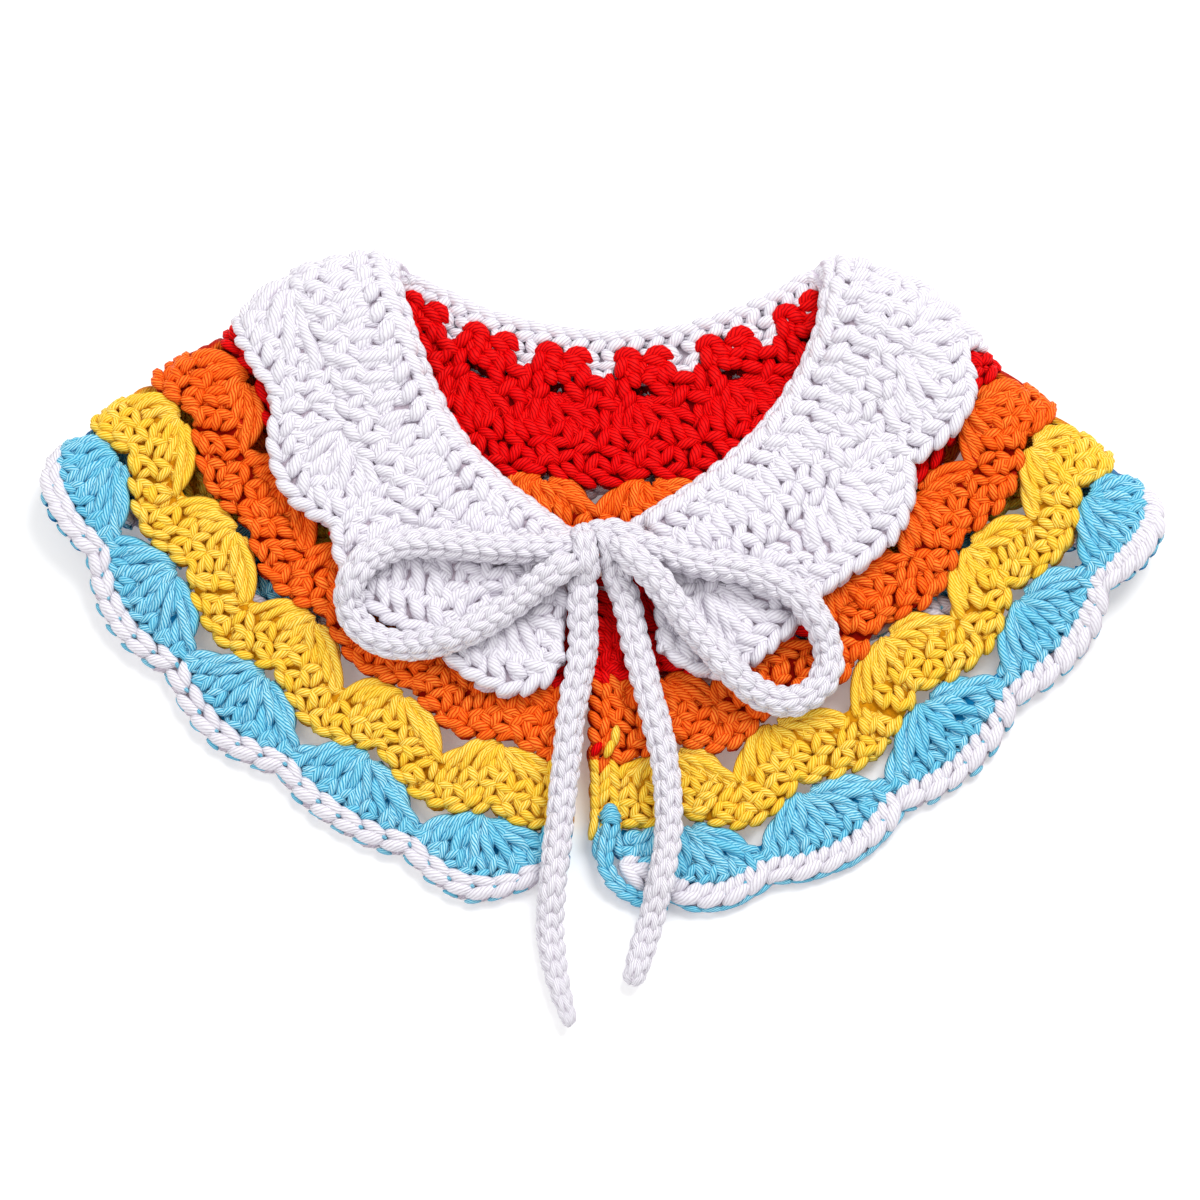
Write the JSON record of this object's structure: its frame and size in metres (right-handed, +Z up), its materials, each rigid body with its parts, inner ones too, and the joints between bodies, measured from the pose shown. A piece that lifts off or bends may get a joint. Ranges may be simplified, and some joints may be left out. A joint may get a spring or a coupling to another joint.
{
  "type": "crocheted collar",
  "caption": "Crocheted capelet collar of shell stitches in bands of colour, folded flat with a turned-down scalloped collar and a cord tied in a bow at the front.",
  "frame": {"origin": "the middle of the cape's outline on the table, under the folded cape", "axes": "X runs across the cape from its left to its right shoulder in the picture, Y from the front hem towards the back of the neck, Z up from the table"},
  "size_m": [0.279, 0.202, 0.0331],
  "materials": {
    "white_yarn": "plied white cotton yarn, crocheted",
    "red_yarn": "plied red cotton yarn, crocheted",
    "orange_yarn": "plied orange cotton yarn, crocheted",
    "yellow_yarn": "plied yellow cotton yarn, crocheted",
    "blue_yarn": "plied light blue cotton yarn, crocheted"
  },
  "bodies": {
    "root": {"neck_band": "white_yarn", "red_band": "red_yarn", "orange_band": "orange_yarn", "yellow_band": "yellow_yarn", "blue_band": "blue_yarn", "hem_edging": "white_yarn", "turned_collar": "white_yarn", "bow_knot": "white_yarn", "left_loop": "white_yarn", "right_loop": "white_yarn", "left_tail": "white_yarn", "right_tail": "white_yarn"}
  },
  "joints": []
}
